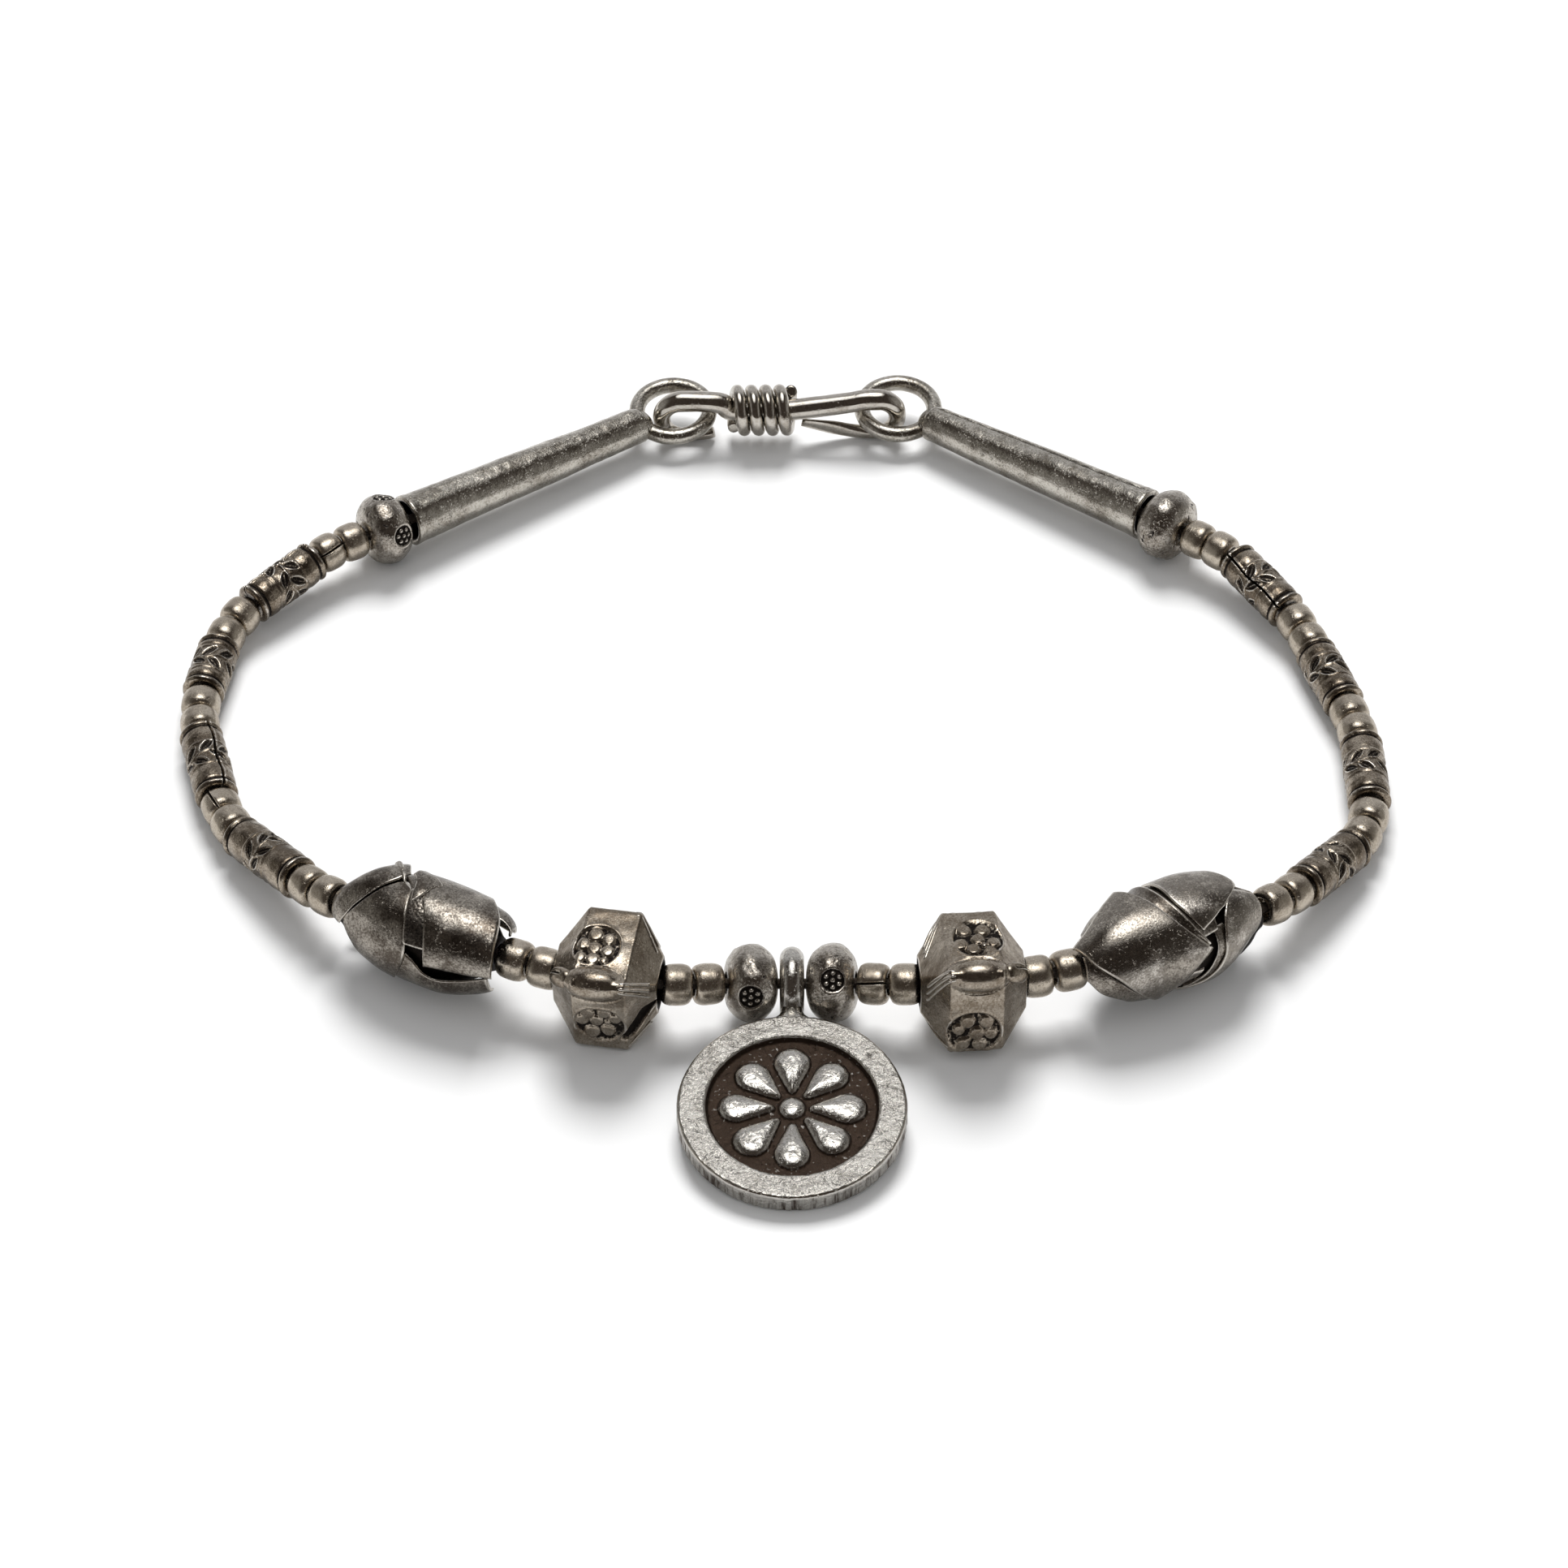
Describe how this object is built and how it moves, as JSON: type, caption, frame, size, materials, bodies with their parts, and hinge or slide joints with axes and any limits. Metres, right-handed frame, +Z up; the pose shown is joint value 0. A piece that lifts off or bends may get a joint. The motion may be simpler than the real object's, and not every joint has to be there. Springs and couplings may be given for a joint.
{
  "type": "medallion bracelet",
  "caption": "Silver bracelet of small beads, engraved tubes and large beads on a thread, with a round flower medallion at the front and a hook clasp at the back.",
  "frame": {"origin": "middle of the lying bracelet's box, on the table", "axes": "X along the front from the left side to the right, Y from the medallion to the clasp, Z up from the table"},
  "size_m": [0.0734, 0.073, 0.0066],
  "materials": {
    "cast_silver": "cast silver with a sandy rim and dark oxide in the recesses",
    "stamped_silver": "aged silver, pitted, with dark stamped roundels",
    "warm_silver": "smooth warm silver, lightly tarnished",
    "sheet_silver": "satin sheet silver with dark stamped fields",
    "woven_silver": "brushed silver strips with a mottled dark patina",
    "engraved_silver": "engraved silver, oxide in the cuts and worn bright edges",
    "tube_silver": "drawn silver tube, finely pitted",
    "silver_wire": "bright silver wire with fine scratches",
    "thread": "dark twisted waxed thread"
  },
  "bodies": {
    "root": {"medallion": "cast_silver", "round_bead_1": "stamped_silver", "round_bead_2": "stamped_silver", "round_bead_3": "stamped_silver", "round_bead_4": "stamped_silver", "spacer_bead_1": "warm_silver", "spacer_bead_2": "warm_silver", "spacer_bead_3": "warm_silver", "spacer_bead_4": "warm_silver", "spacer_bead_5": "warm_silver", "spacer_bead_6": "warm_silver", "spacer_bead_7": "warm_silver", "spacer_bead_8": "warm_silver", "spacer_bead_9": "warm_silver", "spacer_bead_10": "warm_silver", "spacer_bead_11": "warm_silver", "spacer_bead_12": "warm_silver", "spacer_bead_13": "warm_silver", "spacer_bead_14": "warm_silver", "spacer_bead_15": "warm_silver", "spacer_bead_16": "warm_silver", "spacer_bead_17": "warm_silver", "spacer_bead_18": "warm_silver", "spacer_bead_19": "warm_silver", "spacer_bead_20": "warm_silver", "spacer_bead_21": "warm_silver", "spacer_bead_22": "warm_silver", "spacer_bead_23": "warm_silver", "spacer_bead_24": "warm_silver", "spacer_bead_25": "warm_silver", "spacer_bead_26": "warm_silver", "spacer_bead_27": "warm_silver", "spacer_bead_28": "warm_silver", "faceted_bead_1": "sheet_silver", "faceted_bead_2": "sheet_silver", "woven_bead_1": "woven_silver", "woven_bead_2": "woven_silver", "engraved_tube_1": "engraved_silver", "engraved_tube_2": "engraved_silver", "engraved_tube_3": "engraved_silver", "engraved_tube_4": "engraved_silver", "engraved_tube_5": "engraved_silver", "engraved_tube_6": "engraved_silver", "engraved_tube_7": "engraved_silver", "engraved_tube_8": "engraved_silver", "end_tube_1": "tube_silver", "end_tube_2": "tube_silver", "clasp_link": "silver_wire", "clasp_wrap": "silver_wire", "thread": "thread"}
  },
  "joints": []
}
